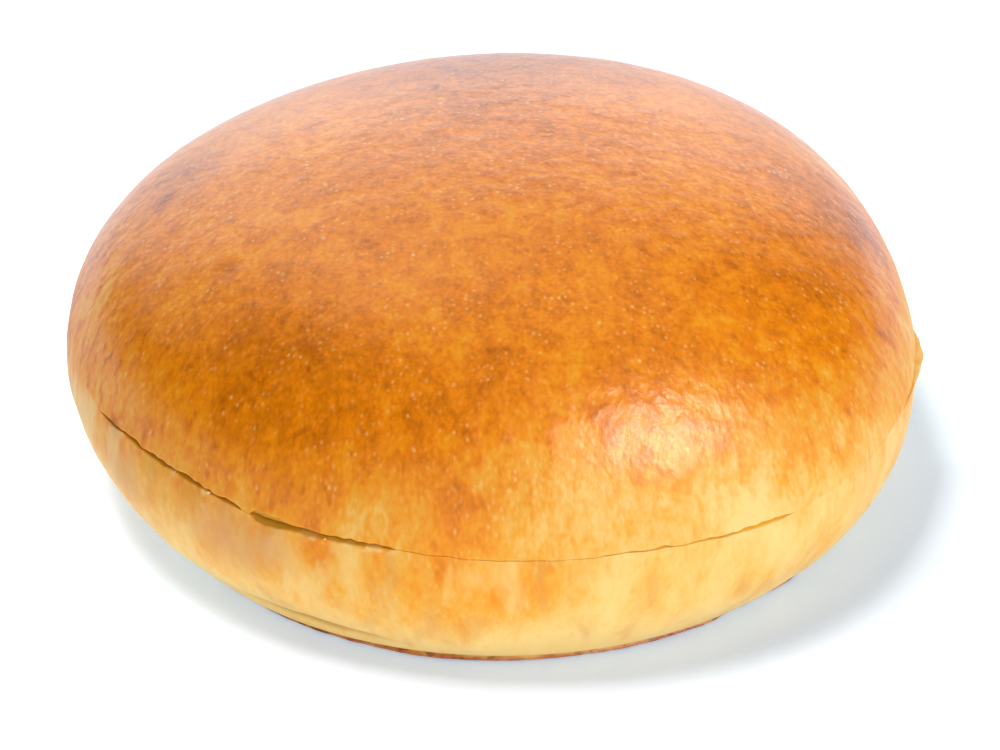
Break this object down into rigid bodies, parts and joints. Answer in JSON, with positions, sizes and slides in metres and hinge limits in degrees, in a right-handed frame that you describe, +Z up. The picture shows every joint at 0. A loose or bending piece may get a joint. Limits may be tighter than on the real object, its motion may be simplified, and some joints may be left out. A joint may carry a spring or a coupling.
{
  "type": "bread roll",
  "caption": "Round soft bread roll with a glazed golden dome and a flat base, sliced across the middle to take a burger or filling.",
  "frame": {"origin": "middle of the flat underside, which rests on the table", "axes": "+Z up through the dome, -Y towards the side where the slicing cut gapes"},
  "size_m": [0.1101, 0.1098, 0.0462],
  "materials": {
    "glazed_crust": "egg-washed golden-brown crust, soft gloss",
    "pale_crust": "pale golden side crust with a browned flat base"
  },
  "bodies": {
    "root": {"crown": "glazed_crust", "heel": "pale_crust"}
  },
  "joints": []
}
